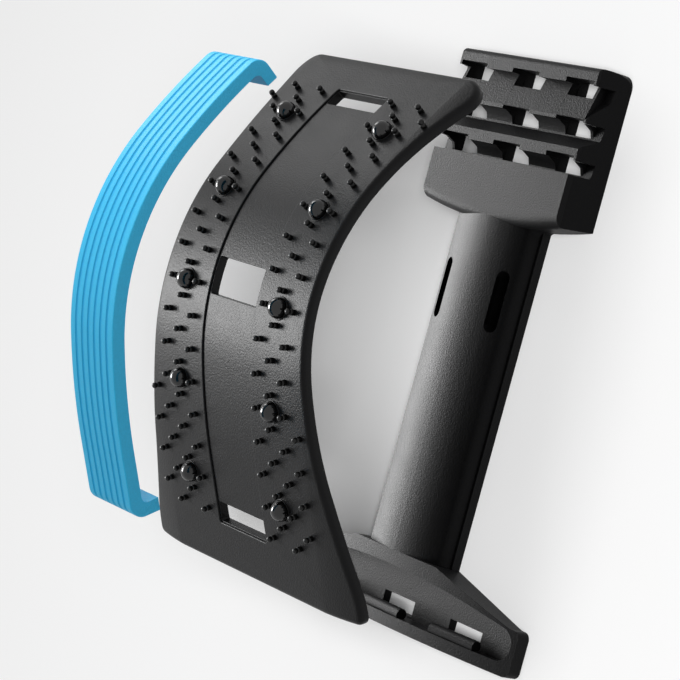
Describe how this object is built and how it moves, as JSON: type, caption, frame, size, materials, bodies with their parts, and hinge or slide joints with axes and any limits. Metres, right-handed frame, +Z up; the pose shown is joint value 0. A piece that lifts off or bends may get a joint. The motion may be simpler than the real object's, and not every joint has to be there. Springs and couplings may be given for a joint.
{
  "type": "lumbar back stretcher",
  "caption": "Free-standing lumbar back stretcher in exploded view: slotted base, arched plate with massage beads and nubs, and grooved foam spine pad.",
  "frame": {"origin": "on the floor plane, the base's flat back, straight below the middle of the plate's middle bead row", "axes": "+X along the spine towards the slotted neck end block, +Y towards the user's left, +Z up from the floor to the arch"},
  "size_m": [0.382, 0.2546, 0.2925],
  "materials": {
    "base_plastic": "fine satin texture",
    "plate_plastic": "fine matte texture",
    "bead_plastic": "high gloss",
    "nub_rubber": "semi gloss",
    "pad_foam": "matt closed-cell foam"
  },
  "bodies": {
    "base": {"base_frame": "base_plastic"},
    "plate": {"arch_plate": "plate_plastic", "bead_left_1": "bead_plastic", "bead_left_2": "bead_plastic", "bead_left_3": "bead_plastic", "bead_left_4": "bead_plastic", "bead_left_5": "bead_plastic", "bead_right_1": "bead_plastic", "bead_right_2": "bead_plastic", "bead_right_3": "bead_plastic", "bead_right_4": "bead_plastic", "bead_right_5": "bead_plastic", "nubs_left_1": "nub_rubber", "nubs_left_2": "nub_rubber", "nubs_left_3": "nub_rubber", "nubs_left_4": "nub_rubber", "nubs_right_1": "nub_rubber", "nubs_right_2": "nub_rubber", "nubs_right_3": "nub_rubber", "nubs_right_4": "nub_rubber"},
    "pad": {"foam_pad": "pad_foam"}
  },
  "joints": [
    {"name": "plate_slide", "type": "slide", "parent": "base", "child": "plate", "axis": [0, 0, 1], "range_m": [-0.0975, 0]},
    {"name": "pad_slide", "type": "slide", "parent": "plate", "child": "pad", "axis": [0, 0, 1], "range_m": [-0.09, 0]}
  ]
}
